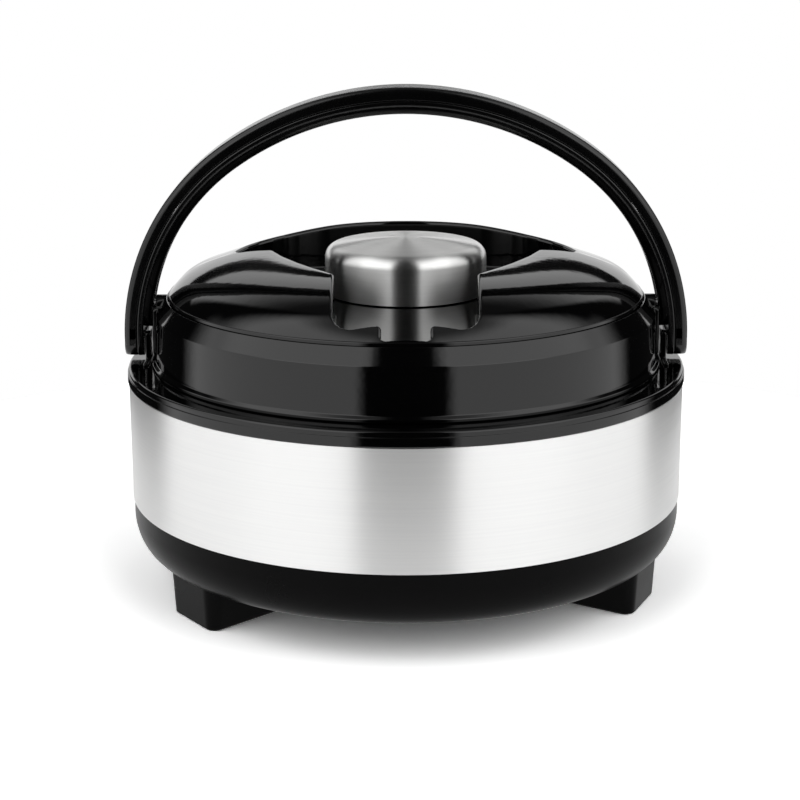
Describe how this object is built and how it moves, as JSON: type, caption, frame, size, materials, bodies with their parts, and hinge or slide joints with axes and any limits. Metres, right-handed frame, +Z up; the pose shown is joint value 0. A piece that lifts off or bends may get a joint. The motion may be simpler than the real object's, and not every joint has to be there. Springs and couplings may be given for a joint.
{
  "type": "insulated casserole dish",
  "caption": "Round insulated serving casserole: steel-banded body on wedge feet, lift-off black lid with a steel knob in a finger pocket, and a swinging bail handle.",
  "frame": {"origin": "centre of the plane that the three feet stand on", "axes": "+Z up, -Y towards the front of the dish, +X along the handle's pivot axis"},
  "size_m": [0.2328, 0.2308, 0.2064],
  "materials": {
    "gloss_black": "gloss",
    "handle_black": "gloss",
    "satin_black": "satin",
    "band_steel": "satin",
    "knob_steel": "satin",
    "bowl_steel": "polished",
    "fastener_steel": "satin",
    "insert_brass": "satin",
    "foam": "matte"
  },
  "bodies": {
    "body": {"outer_body": "satin_black", "steel_band": "band_steel", "collar": "gloss_black", "inner_bowl": "bowl_steel", "body_foam": "foam", "foam_plug": "satin_black", "foot_left": "satin_black", "foot_right": "satin_black", "foot_rear": "satin_black", "foot_screws": "fastener_steel"},
    "lid": {"lid_skirt": "gloss_black", "lid_dome": "gloss_black", "lid_liner": "bowl_steel", "lid_foam": "foam", "knob_cap": "knob_steel", "knob_core": "satin_black", "knob_insert": "insert_brass", "knob_screw": "fastener_steel", "knob_washer": "fastener_steel", "pivot_pin_left": "fastener_steel", "pivot_pin_right": "fastener_steel"},
    "handle": {"handle_bail": "handle_black", "handle_cap": "handle_black"}
  },
  "joints": [
    {"name": "lid_lift", "type": "slide", "parent": "body", "child": "lid", "axis": [0, 0, 1], "range_m": [0, 0.12]},
    {"name": "handle_swing", "type": "hinge", "parent": "lid", "child": "handle", "pos_m": [0, 0, 0.1165], "axis": [1, 0, 0], "range_deg": [-65, 65]}
  ]
}
